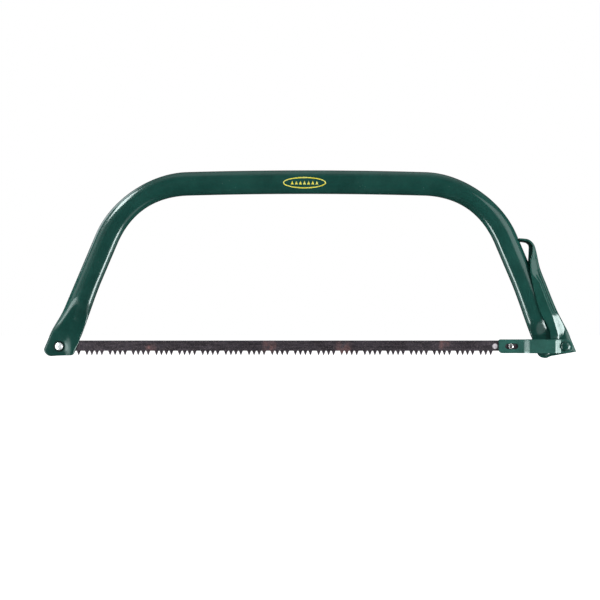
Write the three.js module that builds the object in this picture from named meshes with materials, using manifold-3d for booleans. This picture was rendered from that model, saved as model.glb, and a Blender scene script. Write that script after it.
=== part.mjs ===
// A bow saw for green wood. A springy bow of oval steel tube holds a peg-tooth blade by its two
// ends. At the toe a screw clamps the blade between the tube's flattened walls. At the heel an
// over-centre lever pulls the blade tight through a pair of link plates.
// Millimetres. +X runs along the blade from toe to lever, +Y goes through the saw from its front
// to its back, and +Z is up. The origin is the centre of the bounding box's bottom face.
import * as THREE from "three";
import { mergeVertices } from "three/addons/utils/BufferGeometryUtils.js";
import Module from "manifold-3d";

const wasm = await Module();
wasm.setup();

const DEGREE = Math.PI / 180;

// The bow is drawn about its own line of symmetry, which lies this far to the left of the origin,
// because the lever stands out at one side only.
const BOW_MIDDLE_X = -5.4;

// The bow: a gently arched top bar, two bends and two straight, splayed legs.
const TOP_Z = 232.1;
const TOP_RADIUS = 5430;
const TOP_TURN = 1.65 * DEGREE;
const BEND_RADIUS = 120.1;
const LEG_SLOPE = 67 * DEGREE;
const LEG_LENGTH = 177;
const TUBE_HALF_WIDTH = 15.6;
const TUBE_HALF_DEPTH = 10.75;
const TUBE_WALL = 1.4;
const BEND_SQUEEZE = 1.3; // each half of the tube's width gives this much in the middle of a bend
const BEND_SWELL = 0.9; // and each half of its depth gains this much
const OVAL_POWER = 2.2; // 2 is an ellipse, more is squarer
const POINTS_ROUND_TUBE = 20;

// Both ends of the tube are pressed flat. Heights are of the tube's centre line.
const FLAT_HALF_WIDTH = 19.4;
const FLAT_HALF_DEPTH = 2.1;
const FLAT_WALL = 1.3;
const FLAT_POWER = 8;
const TOE_PRESS = { from: 72, to: 36 };
const HEEL_PRESS = { from: 56, to: 32 };
const FLARE = { from: 74, to: 38 };

// The blade lies on the line through its two end holes.
const BLADE_LINE_Z = 15.5;
const BLADE_HOLE_SPAN = 596; // a standard 24 inch blade, from end hole to end hole
const BLADE_TOE_END = 6; // from the toe's hole to the blade's end
const BLADE_LEVER_END = 10;
const BLADE_TOP_Z = 23.2;
const GULLET_Z = 9.5;
const TOOTH_TIP_Z = 3.9;
const BLADE_HALF_THICK = 0.45;
const TOOTH_PITCH = 6.6;
const TEETH_IN_GROUP = 4;
const GROUP_PITCH = 30.58;
const FIRST_GROUP_X = -289.3;
const FULL_GROUPS = 17;
const TOOTH_ROOT_HALF = 2.1;
const TOOTH_TIP_HALF = 0.45;

// The two fixed axles, the moving one, and the pin that takes the blade's pull.
const TOE_SCREW_X = -325.8;
const BLADE_PIN_X = TOE_SCREW_X + BLADE_HOLE_SPAN;
const FULCRUM = { x: 314.7, z: 9.9 };
const LINK_RIVET = { x: 342, z: BLADE_LINE_Z };
const AXLE_RADIUS = 3;
const AXLE_HOLE_RADIUS = 3.3;

// The link plates: a strip with a joggle over the fulcrum rivet's head.
const LINK_HALF_HEIGHT = 9.15;
const LINK_SHEET = 1.8;
const LINK_LEFT_X = 254;
const LINK_JOGGLE = { from: 286.3, to: 295.5 };
const LINK_STEP = { from: 329.5, to: 335.5 };
const LINK_GAP_BLADE = 0.8; // inner faces' distance from the saw's middle plane, at the blade
const LINK_GAP_MIDDLE = 6.9; // over the fulcrum rivet
const LINK_GAP_RIVET = 2.3; // and at the link rivet
const SLOT_HALF_HEIGHT = 3.65;
const SLOT_LEFT_X = 262.5;
const SLOT_RIGHT_X = 280;

// The lever's sheet, and its cross-section at distances along its outer edge from the hook's tip.
// depth: edge to flange rim. flange: half width at the flange. back: half width of the narrower
// back. web: half width of the flat web. round: depth of the rounded corner. crease: depth where
// the flange begins. slope: width of the step from back to flange.
const LEVER_SHEET = 1.6;
const LEVER_STEP = 4.6;
const LEVER_SECTIONS = [
  { at: 0, depth: 4.2, flange: 8.5, back: 8.5, web: 6, round: 2.6, crease: 3.4, slope: 0.5 },
  { at: 18, depth: 4.6, flange: 9.5, back: 9.5, web: 6, round: 3, crease: 4, slope: 0.5 },
  { at: 33, depth: 10.5, flange: 11, back: 11, web: 6, round: 5, crease: 7, slope: 0.8 },
  { at: 55, depth: 15.5, flange: 12.4, back: 12.4, web: 5.5, round: 8, crease: 10, slope: 0.8 },
  { at: 76, depth: 19.3, flange: 12.8, back: 12, web: 5, round: 8.5, crease: 10.6, slope: 0.8 },
  { at: 114, depth: 22.6, flange: 12.8, back: 11.9, web: 5, round: 8.5, crease: 9.8, slope: 0.8 },
  { at: 141, depth: 22.6, flange: 4.1, back: 1.9, web: 0.4, round: 3.5, crease: 12.6, slope: 2.2 },
  { at: 144, depth: 23.5, flange: 4.1, back: 1.9, web: 0.4, round: 3.5, crease: 13, slope: 2.2 },
  { at: 148, depth: 50, flange: 4.1, back: 1.9, web: 0.4, round: 3.5, crease: 13.5, slope: 2.2 },
  { at: 190, depth: 50, flange: 4.1, back: 1.9, web: 0.4, round: 3.5, crease: 14, slope: 2.2 },
];
const LEVER_EDGE = [
  [281, 157.9],
  [293, 156.6],
  [300.8, 150.5],
  [304.5, 139.9],
  [309.1, 118.8],
  [317.3, 97.7],
  [330.3, 66],
  [341.5, 44.9],
  [347, 34.3],
  [350.7, 23.8],
  [356.7, 8.3],
  [360.7, -2],
];
const EAR_RADIUS = 9.9;
const DISH_RADIUS = 13.2; // the pressed-in dish round the link rivet, where its slope begins
const RIVET_AT = 162.8; // the link rivet's distance along the lever's edge
const RIVET_DEPTH = 11.3; // and its distance in from the edge

const colours = {
  enamel: 0x1d4f45,
  blade: 0x574f4d,
  steel: 0xb9bdc0,
};

// ---------------------------------------------------------------- helpers

const mix = (a, b, t) => a + (b - a) * t;
const smooth = (t) => {
  const c = Math.min(Math.max(t, 0), 1);
  return c * c * (3 - 2 * c);
};

// A closed geometry as a solid that can be joined and cut.
function solid(geometry) {
  const bare = geometry.clone();
  bare.deleteAttribute("normal");
  bare.deleteAttribute("uv");
  const merged = mergeVertices(bare, 1e-4);
  const vertProperties = new Float32Array(merged.attributes.position.array);
  const triVerts = new Uint32Array(merged.index.array);
  return new wasm.Manifold(new wasm.Mesh({ numProp: 3, vertProperties, triVerts }));
}

function geometryOf(body) {
  const mesh = body.getMesh();
  const geometry = new THREE.BufferGeometry();
  geometry.setAttribute("position", new THREE.BufferAttribute(mesh.vertProperties, 3));
  geometry.setIndex(new THREE.BufferAttribute(mesh.triVerts, 1));
  geometry.computeVertexNormals();
  return geometry;
}

function named(name, body, colour, roughness, metalness) {
  const material = new THREE.MeshStandardMaterial({ color: colour, roughness, metalness });
  const mesh = new THREE.Mesh(geometryOf(body), material);
  mesh.name = name;
  return mesh;
}

// A side view outline in X and Z, made solid from y = low to y = high.
function slab(shape, low, high, segments = 16) {
  const options = { depth: high - low, bevelEnabled: false, curveSegments: segments };
  const geometry = new THREE.ExtrudeGeometry(shape, options);
  geometry.rotateX(Math.PI / 2);
  geometry.translate(0, high, 0);
  return solid(geometry);
}

// A turned body about a line along Y through (x, z). The profile's points are radius and y.
function turned(profile, x, z, segments = 20) {
  const points = profile.map(([radius, y]) => new THREE.Vector2(radius, y));
  const geometry = new THREE.LatheGeometry(points, segments);
  geometry.translate(x, 0, z);
  return solid(geometry);
}

function drill(radius, x, z, segments = 20) {
  const reach = 30;
  return turned([[0, -reach], [radius, -reach], [radius, reach], [0, reach]], x, z, segments);
}

// The rows of a dome-headed end: from the head's rim at y = base to its crown, `rise` further out.
function dome(radius, base, rise, direction, rows = 4) {
  const points = [];
  for (let i = 0; i <= rows; i += 1) {
    const angle = (i / rows) * 90 * DEGREE;
    points.push([radius * Math.cos(angle), base + direction * rise * Math.sin(angle)]);
  }
  return points;
}

// A skin over rings of equal counts. A wrapped skin joins the last ring to the first. One that
// isn't wrapped has each end closed by strips between a ring's first half and its second.
function loft(rings, wrapped) {
  const count = rings[0].length;
  const positions = rings.flat().flatMap((point) => [point.x, point.y, point.z]);
  const index = [];
  const quad = (a, b, c, d) => index.push(a, b, c, a, c, d);
  const last = wrapped ? rings.length : rings.length - 1;
  for (let i = 0; i < last; i += 1) {
    const here = i * count;
    const next = ((i + 1) % rings.length) * count;
    for (let j = 0; j < count; j += 1) {
      const k = (j + 1) % count;
      quad(here + j, here + k, next + k, next + j);
    }
  }
  if (!wrapped) {
    const end = (rings.length - 1) * count;
    for (let j = 0; j < count / 2 - 1; j += 1) {
      const a = count - 1 - j;
      quad(j, a, a - 1, j + 1);
      quad(end + j, end + j + 1, end + a - 1, end + a);
    }
  }
  const geometry = new THREE.BufferGeometry();
  geometry.setAttribute("position", new THREE.Float32BufferAttribute(positions, 3));
  geometry.setIndex(index);
  return solid(geometry);
}

// ---------------------------------------------------------------- frame tube

const TOP_ARC = TOP_RADIUS * TOP_TURN;
const BEND_ARC = BEND_RADIUS * (LEG_SLOPE - TOP_TURN);
const HALF_ARC = TOP_ARC + BEND_ARC + LEG_LENGTH;

// The centre line at a distance from the middle of the top bar: place and slope below level.
function bowLine(distance) {
  const along = Math.abs(distance);
  const top = Math.min(along, TOP_ARC) / TOP_RADIUS;
  const bend = Math.min(Math.max(along - TOP_ARC, 0), BEND_ARC) / BEND_RADIUS;
  const leg = Math.max(along - TOP_ARC - BEND_ARC, 0);
  const slope = top + bend;
  let x = TOP_RADIUS * Math.sin(top);
  let z = TOP_Z - TOP_RADIUS * (1 - Math.cos(top));
  x += BEND_RADIUS * (Math.sin(slope) - Math.sin(top));
  z -= BEND_RADIUS * (Math.cos(top) - Math.cos(slope));
  x += leg * Math.cos(slope);
  z -= leg * Math.sin(slope);
  return { side: Math.sign(distance), x, z, slope };
}

// One ring of the tube: its outer face, or its inner face when `inner` is true.
function tubeRing(distance, inner) {
  const line = bowLine(distance);
  const press = line.side < 0 ? TOE_PRESS : HEEL_PRESS;
  const pressed = smooth((press.from - line.z) / (press.from - press.to));
  const flared = smooth((FLARE.from - line.z) / (FLARE.from - FLARE.to));
  const bend = (Math.abs(distance) - TOP_ARC) / BEND_ARC;
  const squeezed = bend > 0 && bend < 1 ? Math.sin(bend * Math.PI) ** 2 : 0;
  const wall = inner ? mix(TUBE_WALL, FLAT_WALL, pressed) : 0;
  const width = mix(TUBE_HALF_WIDTH, FLAT_HALF_WIDTH, flared) - BEND_SQUEEZE * squeezed - wall;
  const depth = mix(TUBE_HALF_DEPTH, FLAT_HALF_DEPTH, pressed) + BEND_SWELL * squeezed - wall;
  const power = 2 / mix(OVAL_POWER, FLAT_POWER, pressed);
  const ring = [];
  for (let i = 0; i < POINTS_ROUND_TUBE; i += 1) {
    const angle = (-i / POINTS_ROUND_TUBE) * 2 * Math.PI;
    const c = Math.cos(angle);
    const s = Math.sin(angle);
    const out = width * Math.sign(c) * Math.abs(c) ** power;
    const through = depth * Math.sign(s) * Math.abs(s) ** power;
    const x = line.side * (line.x + out * Math.sin(line.slope));
    ring.push(new THREE.Vector3(x, through, line.z + out * Math.cos(line.slope)));
  }
  return ring;
}

// Distances for the rings: wide steps on straight stretches, short ones where the shape changes.
function tubeStations() {
  const half = [];
  const spread = (from, to, steps) => {
    for (let i = 0; i < steps; i += 1) half.push(mix(from, to, i / steps));
  };
  const bendEnd = TOP_ARC + BEND_ARC;
  const legAt = (z) => bendEnd + (bowLine(bendEnd).z - z) / Math.sin(LEG_SLOPE);
  spread(0.5, TOP_ARC, 3);
  spread(TOP_ARC, bendEnd, 8);
  spread(bendEnd, legAt(FLARE.from), 1);
  spread(legAt(FLARE.from), legAt(HEEL_PRESS.to), 10);
  spread(legAt(HEEL_PRESS.to), HALF_ARC, 1);
  half.push(HALF_ARC);
  return [...half.map((d) => -d).reverse(), ...half];
}

// What is kept of the tube in the side view: the toe above its sloped bottom edge and inside its
// rounded outer corner, and at the heel an ear round the fulcrum, cut back on its outer side
// where the lever is pressed narrow.
function keptOutline() {
  const corner = { x: -336, z: 13, radius: 10 };
  const ear = EAR_RADIUS - 1;
  const shape = new THREE.Shape();
  shape.moveTo(-420, 300);
  shape.lineTo(-420, corner.z);
  shape.lineTo(corner.x - corner.radius, corner.z);
  shape.absarc(corner.x, corner.z, corner.radius, Math.PI, 1.5 * Math.PI + 0.055, false);
  shape.lineTo(-290, 5.5);
  shape.lineTo(0, FULCRUM.z);
  shape.lineTo(FULCRUM.x - ear, FULCRUM.z);
  shape.absarc(FULCRUM.x, FULCRUM.z, ear, Math.PI, 2 * Math.PI, false);
  shape.lineTo(330.5, 28);
  shape.lineTo(319.5, 62);
  shape.lineTo(340, 90);
  shape.lineTo(340, 300);
  return shape;
}

function frameTube() {
  const stations = tubeStations();
  const outer = stations.map((d) => tubeRing(d, false));
  const inner = stations.map((d) => tubeRing(d, true)).reverse();
  let tube = loft([...outer, ...inner], true);
  const reach = 30;
  tube = tube.intersect(slab(keptOutline(), -reach, reach));
  const slotHalf = FLAT_HALF_DEPTH - FLAT_WALL;
  const slot = new THREE.BoxGeometry(50, 2 * slotHalf, 36);
  slot.translate(-310, 0, BLADE_TOP_Z + 0.8 - 18);
  tube = tube.subtract(solid(slot));
  tube = tube.subtract(drill(2.8, TOE_SCREW_X, BLADE_LINE_Z));
  return tube.subtract(drill(AXLE_HOLE_RADIUS, FULCRUM.x, FULCRUM.z));
}

// ---------------------------------------------------------------- blade

// The toothed edge from left to right: groups of four narrow teeth with a wide raker gap between.
function toothCentres() {
  const centres = [];
  for (let group = -1; group <= FULL_GROUPS; group += 1) {
    for (let tooth = 0; tooth < TEETH_IN_GROUP; tooth += 1) {
      const beforeToe = group < 0 && tooth < TEETH_IN_GROUP - 1;
      const pastTeeth = group === FULL_GROUPS && tooth === TEETH_IN_GROUP - 1;
      const x = FIRST_GROUP_X + group * GROUP_PITCH + tooth * TOOTH_PITCH;
      if (!beforeToe && !pastTeeth) centres.push(x);
    }
  }
  return centres;
}

function blade() {
  const left = TOE_SCREW_X - BLADE_TOE_END;
  const right = BLADE_PIN_X + BLADE_LEVER_END;
  const chamfer = 3;
  const shape = new THREE.Shape();
  shape.moveTo(left, BLADE_TOP_Z - chamfer);
  shape.lineTo(left, GULLET_Z + chamfer);
  shape.lineTo(left + chamfer, GULLET_Z);
  for (const x of toothCentres()) {
    shape.lineTo(x - TOOTH_ROOT_HALF, GULLET_Z);
    shape.lineTo(x - TOOTH_TIP_HALF, TOOTH_TIP_Z);
    shape.lineTo(x + TOOTH_TIP_HALF, TOOTH_TIP_Z);
    shape.lineTo(x + TOOTH_ROOT_HALF, GULLET_Z);
  }
  shape.lineTo(right - chamfer, GULLET_Z);
  shape.lineTo(right, GULLET_Z + chamfer);
  shape.lineTo(right, BLADE_TOP_Z - chamfer);
  shape.lineTo(right - chamfer, BLADE_TOP_Z);
  shape.lineTo(left + chamfer, BLADE_TOP_Z);
  let strip = slab(shape, -BLADE_HALF_THICK, BLADE_HALF_THICK);
  strip = strip.subtract(drill(2.9, TOE_SCREW_X, BLADE_LINE_Z));
  return strip.subtract(drill(AXLE_HOLE_RADIUS, BLADE_PIN_X, BLADE_LINE_Z));
}

// ---------------------------------------------------------------- toe fasteners

function toeScrew() {
  const shank = 2.5;
  const head = 5.6;
  const base = -(FLAT_HALF_DEPTH + 0.3);
  const profile = [[0, 9.2], [shank - 0.5, 9.2], [shank, 8.7], [shank, base], [head, base]];
  const crown = dome(head, base - 0.8, 1.9, -1);
  const body = turned([...profile, ...crown].reverse(), TOE_SCREW_X, BLADE_LINE_Z);
  const slot = new THREE.BoxGeometry(20, 1.3, 1.3);
  slot.rotateY(-50 * DEGREE);
  slot.translate(TOE_SCREW_X, base - 0.8 - 1.9, BLADE_LINE_Z);
  return body.subtract(solid(slot));
}

function toeWasher() {
  const low = FLAT_HALF_DEPTH + 0.3;
  const profile = [[2.8, low], [6, low], [6, low + 1], [2.8, low + 1], [2.8, low]];
  return turned(profile, TOE_SCREW_X, BLADE_LINE_Z);
}

function toeNut() {
  const low = FLAT_HALF_DEPTH + 1.6;
  const high = low + 4;
  const across = 4 / Math.cos(30 * DEGREE);
  const body = turned([[0, low], [across, low], [across, high], [0, high]], 0, 0, 6);
  const bored = body.subtract(drill(2.8, 0, 0));
  return bored.translate([TOE_SCREW_X, 0, BLADE_LINE_Z]);
}

// ---------------------------------------------------------------- rivets and pin

// A rivet through the middle plane, with a dome head at each side.
function rivet(place, headRadius, headBase, rise) {
  const low = dome(headRadius, -headBase, rise, -1).reverse();
  const high = dome(headRadius, headBase, rise, 1);
  const profile = [...low, [AXLE_RADIUS, -headBase], [AXLE_RADIUS, headBase], ...high];
  return turned(profile, place.x, place.z);
}

function bladePin() {
  const end = 3.2;
  const low = dome(AXLE_RADIUS, -end, 0.6, -1, 2).reverse();
  const high = dome(AXLE_RADIUS, end, 0.6, 1, 2);
  return turned([...low, ...high], BLADE_PIN_X, BLADE_LINE_Z);
}

// ---------------------------------------------------------------- link plates

function linkOutline() {
  const low = BLADE_LINE_Z - LINK_HALF_HEIGHT;
  const high = BLADE_LINE_Z + LINK_HALF_HEIGHT;
  const lowCorner = 5;
  const highCorner = 2.5;
  const left = LINK_LEFT_X;
  const shape = new THREE.Shape();
  shape.moveTo(left + lowCorner, low);
  shape.lineTo(LINK_RIVET.x, low);
  shape.absarc(LINK_RIVET.x, LINK_RIVET.z, LINK_HALF_HEIGHT, -Math.PI / 2, Math.PI / 2, false);
  shape.lineTo(left + highCorner, high);
  shape.absarc(left + highCorner, high - highCorner, highCorner, Math.PI / 2, Math.PI, false);
  shape.lineTo(left, low + lowCorner);
  shape.absarc(left + lowCorner, low + lowCorner, lowCorner, Math.PI, 1.5 * Math.PI, false);
  return shape;
}

function slotOutline() {
  const r = SLOT_HALF_HEIGHT;
  const shape = new THREE.Shape();
  shape.absarc(SLOT_LEFT_X + r, BLADE_LINE_Z, r, Math.PI / 2, 1.5 * Math.PI, false);
  shape.absarc(SLOT_RIGHT_X - r, BLADE_LINE_Z, r, -Math.PI / 2, Math.PI / 2, false);
  return shape;
}

// side is -1 for the front plate and 1 for the back one.
function linkPlate(side) {
  const bends = [
    [LINK_LEFT_X - 1, LINK_GAP_BLADE],
    [LINK_JOGGLE.from, LINK_GAP_BLADE],
    [LINK_JOGGLE.to, LINK_GAP_MIDDLE],
    [LINK_STEP.from, LINK_GAP_MIDDLE],
    [LINK_STEP.to, LINK_GAP_RIVET],
    [LINK_RIVET.x + LINK_HALF_HEIGHT + 1, LINK_GAP_RIVET],
  ];
  const nearFace = bends.map(([x, y]) => new THREE.Vector2(x, side * y));
  const farFace = bends.map(([x, y]) => new THREE.Vector2(x, side * (y + LINK_SHEET)));
  const profile = new THREE.Shape([...nearFace, ...farFace.reverse()]);
  const height = 2 * LINK_HALF_HEIGHT + 2;
  const strip = new THREE.ExtrudeGeometry(profile, { depth: height, bevelEnabled: false });
  strip.translate(0, 0, BLADE_LINE_Z - height / 2);
  let plate = solid(strip).intersect(slab(linkOutline(), -15, 15));
  plate = plate.subtract(slab(slotOutline(), -15, 15, 8));
  return plate.subtract(drill(AXLE_HOLE_RADIUS, LINK_RIVET.x, LINK_RIVET.z));
}

// ---------------------------------------------------------------- tension lever

// The cross-section's sizes at a distance along the lever's edge.
function leverSizes(at) {
  const next = Math.max(1, LEVER_SECTIONS.findIndex((section) => section.at >= at));
  const a = LEVER_SECTIONS[next - 1];
  const b = LEVER_SECTIONS[next];
  const t = smooth((at - a.at) / (b.at - a.at));
  const sizes = {};
  for (const key of Object.keys(a)) sizes[key] = mix(a[key], b[key], t);
  const past = Math.min(at - RIVET_AT, 0);
  const dish = Math.sqrt(Math.max(DISH_RADIUS ** 2 - past ** 2, 0));
  if (dish > 0) sizes.crease = Math.max(sizes.crease, RIVET_DEPTH + dish);
  return sizes;
}

// Half of the section, from the web's middle to the flange's rim, as depth and half width.
function leverHalf(size, inner) {
  const sheet = inner ? LEVER_SHEET : 0;
  const leastGap = 0.3;
  const back = inner ? Math.max(size.back - sheet, leastGap) : size.back;
  const flange = size.flange - sheet;
  const web = inner ? Math.min(size.web, back) : size.web;
  const corner = Math.max(size.round - sheet, 0.6);
  const shift = 0.3 * sheet;
  const half = [];
  for (let i = 0; i <= 3; i += 1) {
    const angle = i * 30 * DEGREE;
    half.push([sheet + corner * (1 - Math.cos(angle)), mix(web, back, Math.sin(angle))]);
  }
  half.push([size.crease - size.slope + shift, back]);
  half.push([size.crease + shift, flange]);
  half.push([size.depth, flange]);
  return half;
}

function leverRing(curve, length, at) {
  const along = at / length;
  const edge = curve.getPointAt(along);
  const way = curve.getTangentAt(along);
  const size = leverSizes(at);
  const row = (inner) => {
    const half = leverHalf(size, inner);
    const front = half.map(([depth, y]) => [depth, -y]);
    return [...half.reverse(), ...front];
  };
  const section = [...row(false), ...row(true).reverse()];
  return section.map(
    ([depth, y]) => new THREE.Vector3(edge.x + way.y * depth, y, edge.y - way.x * depth),
  );
}

// The lever's lower end: the ear round the fulcrum, then a straight bottom edge to the corner.
function leverOutline() {
  const shape = new THREE.Shape();
  shape.moveTo(240, 200);
  shape.lineTo(240, 40);
  shape.lineTo(FULCRUM.x - EAR_RADIUS, 24);
  shape.lineTo(FULCRUM.x - EAR_RADIUS, FULCRUM.z);
  shape.absarc(FULCRUM.x, FULCRUM.z, EAR_RADIUS, Math.PI, 1.5 * Math.PI + 0.35, false);
  shape.lineTo(322.5, 2.6);
  shape.lineTo(356.7, 8.3);
  shape.lineTo(420, 18);
  shape.lineTo(420, 200);
  return shape;
}

function tensionLever() {
  const curve = new THREE.SplineCurve(LEVER_EDGE.map(([x, z]) => new THREE.Vector2(x, z)));
  const length = curve.getLength();
  const steps = Math.round(length / LEVER_STEP);
  const rings = [];
  for (let i = 0; i <= steps; i += 1) {
    rings.push(leverRing(curve, length, (i / steps) * length));
  }
  let lever = loft(rings, false);
  lever = lever.intersect(slab(leverOutline(), -20, 20, 24));
  lever = lever.subtract(drill(AXLE_HOLE_RADIUS, FULCRUM.x, FULCRUM.z));
  return lever.subtract(drill(AXLE_HOLE_RADIUS, LINK_RIVET.x, LINK_RIVET.z));
}

// ---------------------------------------------------------------- the saw

const saw = new THREE.Group();
saw.position.x = BOW_MIDDLE_X;
saw.add(named("frame_tube", frameTube(), colours.enamel, 0.25, 0.1));
saw.add(named("blade", blade(), colours.blade, 0.55, 0.7));
saw.add(named("toe_screw", toeScrew(), colours.steel, 0.3, 0.9));
saw.add(named("toe_washer", toeWasher(), colours.steel, 0.4, 0.9));
saw.add(named("toe_nut", toeNut(), colours.steel, 0.4, 0.9));
saw.add(named("fulcrum_rivet", rivet(FULCRUM, 7.4, 4.4, 2.1), colours.enamel, 0.3, 0.2));

const lever = new THREE.Group();
lever.add(named("tension_lever", tensionLever(), colours.enamel, 0.25, 0.1));
lever.add(named("link_rivet", rivet(LINK_RIVET, 6.7, 4.5, 3.1), colours.enamel, 0.3, 0.2));
saw.add(lever);

const link = new THREE.Group();
link.add(named("link_plate_front", linkPlate(-1), colours.enamel, 0.25, 0.1));
link.add(named("link_plate_back", linkPlate(1), colours.enamel, 0.25, 0.1));
saw.add(link);
saw.add(named("blade_pin", bladePin(), colours.steel, 0.25, 0.9));

export default saw;
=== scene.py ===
"""The bow saw's looks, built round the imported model.

Shapes are worked out in millimetres in the bow's own side view (x along the blade from the bow's
middle, y through the saw, z up) and turned into the row frame, in metres, when a mesh is made.
"""

from math import asin, cos, degrees, exp, log, pi, radians, sin, sqrt

import bmesh
import bpy
import numpy as np
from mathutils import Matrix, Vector


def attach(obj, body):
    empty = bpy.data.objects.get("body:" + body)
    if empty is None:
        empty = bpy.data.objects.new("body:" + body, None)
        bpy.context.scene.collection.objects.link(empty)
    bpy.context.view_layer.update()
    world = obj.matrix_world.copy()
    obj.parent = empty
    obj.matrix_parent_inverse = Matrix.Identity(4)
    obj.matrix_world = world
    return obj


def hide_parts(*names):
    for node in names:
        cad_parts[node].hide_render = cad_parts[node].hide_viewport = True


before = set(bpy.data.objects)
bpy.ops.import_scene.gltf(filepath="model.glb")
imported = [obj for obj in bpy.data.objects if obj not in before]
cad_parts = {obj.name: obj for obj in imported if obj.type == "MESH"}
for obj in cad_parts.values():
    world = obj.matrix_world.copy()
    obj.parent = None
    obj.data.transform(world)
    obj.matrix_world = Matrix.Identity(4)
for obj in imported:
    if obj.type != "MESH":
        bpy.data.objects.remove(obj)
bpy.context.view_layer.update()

MM = 0.001
BOW_MIDDLE_X = -5.4

# The bow's centre line and the tube's section.
TOP_Z = 232.1
TOP_RADIUS = 5430
TOP_TURN = radians(1.65)
BEND_RADIUS = 120.1
LEG_SLOPE = radians(67)
LEG_LENGTH = 177
TUBE_HALF_WIDTH = 15.6
TUBE_HALF_DEPTH = 10.75
BEND_SQUEEZE = 1.3  # what each half of the tube's width gives up in the middle of a bend
BEND_SWELL = 0.9  # and what each half of its depth gains
OVAL_POWER = 2.2  # 2 is an ellipse, more is squarer
POINTS_ROUND_TUBE = 72

# The pressed ends, by the height of the tube's centre line.
FLAT_HALF_WIDTH = 19.4
FLAT_HALF_DEPTH = 2.1
FLAT_WALL = 1.3
FLAT_POWER = 8
TOE_PRESS = (80, 46)
TOE_PRESS_LAG = 20  # how much further down the toe's outer side is pressed
HEEL_PRESS = (55, 28)
TOE_HOLE_RADIUS = 2.8
FLARE_STARTS = 108
INNER_FLARE = (FLARE_STARTS, 28)
TOE_OUTER_FLARE = (60, 24)
HEEL_OUTER_FLARE = (70, 34)
END_BLOCK_Z = 31  # below this height the tube's lines run on to the trimmed end

# Axles and pins, in the side view.
BLADE_LINE_Z = 15.5
TOE_SCREW_X = -325.8
BLADE_PIN_X = 270.2
TOE_SCREW = (TOE_SCREW_X, BLADE_LINE_Z)
BLADE_PIN = (BLADE_PIN_X, BLADE_LINE_Z)
FULCRUM = (314.7, 9.9)
LINK_RIVET = (342.0, BLADE_LINE_Z)
AXLE_RADIUS = 3.0
AXLE_HOLE_RADIUS = 3.3
EAR_RADIUS = 9.9


# -------------------- numbers


def mix(a, b, t):
    return a + (b - a) * t


def smooth(t):
    c = np.clip(t, 0, 1)
    return c * c * (3 - 2 * c)


def bump(t):
    """1 at t = 0, falling smoothly to 0 at t = -1 and 1."""
    return 1 - smooth(np.abs(t))


def eased(curve, at, reach=2.6):
    """A curve of straight runs, read with its corners rounded over a reach to each side."""
    spread = np.linspace(-reach, reach, 15)
    weight = bump(spread / (reach * 1.05))
    xs, ys = zip(*curve)
    return float(np.sum(np.interp(at + spread, xs, ys) * weight) / np.sum(weight))


# -------------------- meshes


def placed(name, data):
    """A new object in the scene."""
    thing = bpy.data.objects.new(name, data)
    bpy.context.scene.collection.objects.link(thing)
    return thing


def solid(name, points, faces):
    """A mesh object from points in side view millimetres."""
    points = (np.asarray(points, float) + (BOW_MIDDLE_X, 0, 0)) * MM
    mesh = bpy.data.meshes.new(name)
    mesh.from_pydata(points.tolist(), [], faces)
    thing = placed(name, mesh)
    weld(thing)
    return thing


def mesh_piece(name, points, faces, body, node=None, slot=None, soft_angle=35):
    """A piece from points in side view millimetres. It stands for the CAD node, if one is named."""
    piece = solid(name, points, faces)
    piece["soft_angle"] = soft_angle
    shade(piece)
    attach(piece, body)
    if node:
        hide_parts(node)
    return piece


def weld(piece, distance=0.002 * MM):
    """Joins points that lie together, and turns the faces outwards."""
    work = bmesh.new()
    work.from_mesh(piece.data)
    bmesh.ops.remove_doubles(work, verts=work.verts, dist=distance)
    bmesh.ops.dissolve_degenerate(work, dist=distance, edges=work.edges)
    bmesh.ops.recalc_face_normals(work, faces=work.faces)
    work.to_mesh(piece.data)
    work.free()


def shade(piece):
    """Smooth shading that keeps the edges sharper than the piece's angle."""
    mesh = piece.data
    mesh.polygons.foreach_set("use_smooth", [True] * len(mesh.polygons))
    mesh.set_sharp_from_angle(angle=radians(piece["soft_angle"]))
    mesh.update()


def loft(rings, wrapped=False):
    """Points and faces of a skin over rings of equal counts, its ends closed or joined up."""
    rings = np.asarray(rings, float)
    rows, count, _ = rings.shape
    faces = []
    last = rows if wrapped else rows - 1
    for i in range(last):
        here = i * count
        there = ((i + 1) % rows) * count
        for j in range(count):
            k = (j + 1) % count
            faces.append((here + j, here + k, there + k, there + j))
    if not wrapped:
        faces.append(tuple(range(count)))
        faces.append(tuple((rows - 1) * count + j for j in range(count)))
    return rings.reshape(-1, 3), faces


def turned(profile, place, segments=48):
    """Points and faces of a body turned about the line along y through place.

    The profile's points are radius and y. It closes on itself, or starts and ends on the axis."""
    x, z = place
    rings = []
    for i in range(segments):
        angle = 2 * pi * i / segments
        c, s = cos(angle), sin(angle)
        rings.append([(x + r * c, y, z + r * s) for r, y in profile])
    points, faces = loft(rings, wrapped=True)
    on_axis = profile[0][0] < 1e-9 and profile[-1][0] < 1e-9
    if on_axis:
        count = len(profile)
        faces = [face for i, face in enumerate(faces) if i % count != count - 1]
    return points, faces


def arc(cx, cy, radius, start, end, steps):
    """Points of an arc, with its angles in degrees."""
    angles = np.radians(np.linspace(start, end, steps + 1))
    return [(cx + radius * cos(a), cy + radius * sin(a)) for a in angles]


def prism(outline, low=-30, high=30):
    """Points and faces of a side view outline made solid from y = low to y = high."""
    ring = lambda y: [(x, y, z) for x, z in outline]
    return loft([ring(low), ring(high)])


def drill(place, radius, segments=48):
    return turned([(0, -30), (radius, -30), (radius, 30), (0, 30)], place, segments)


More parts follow.
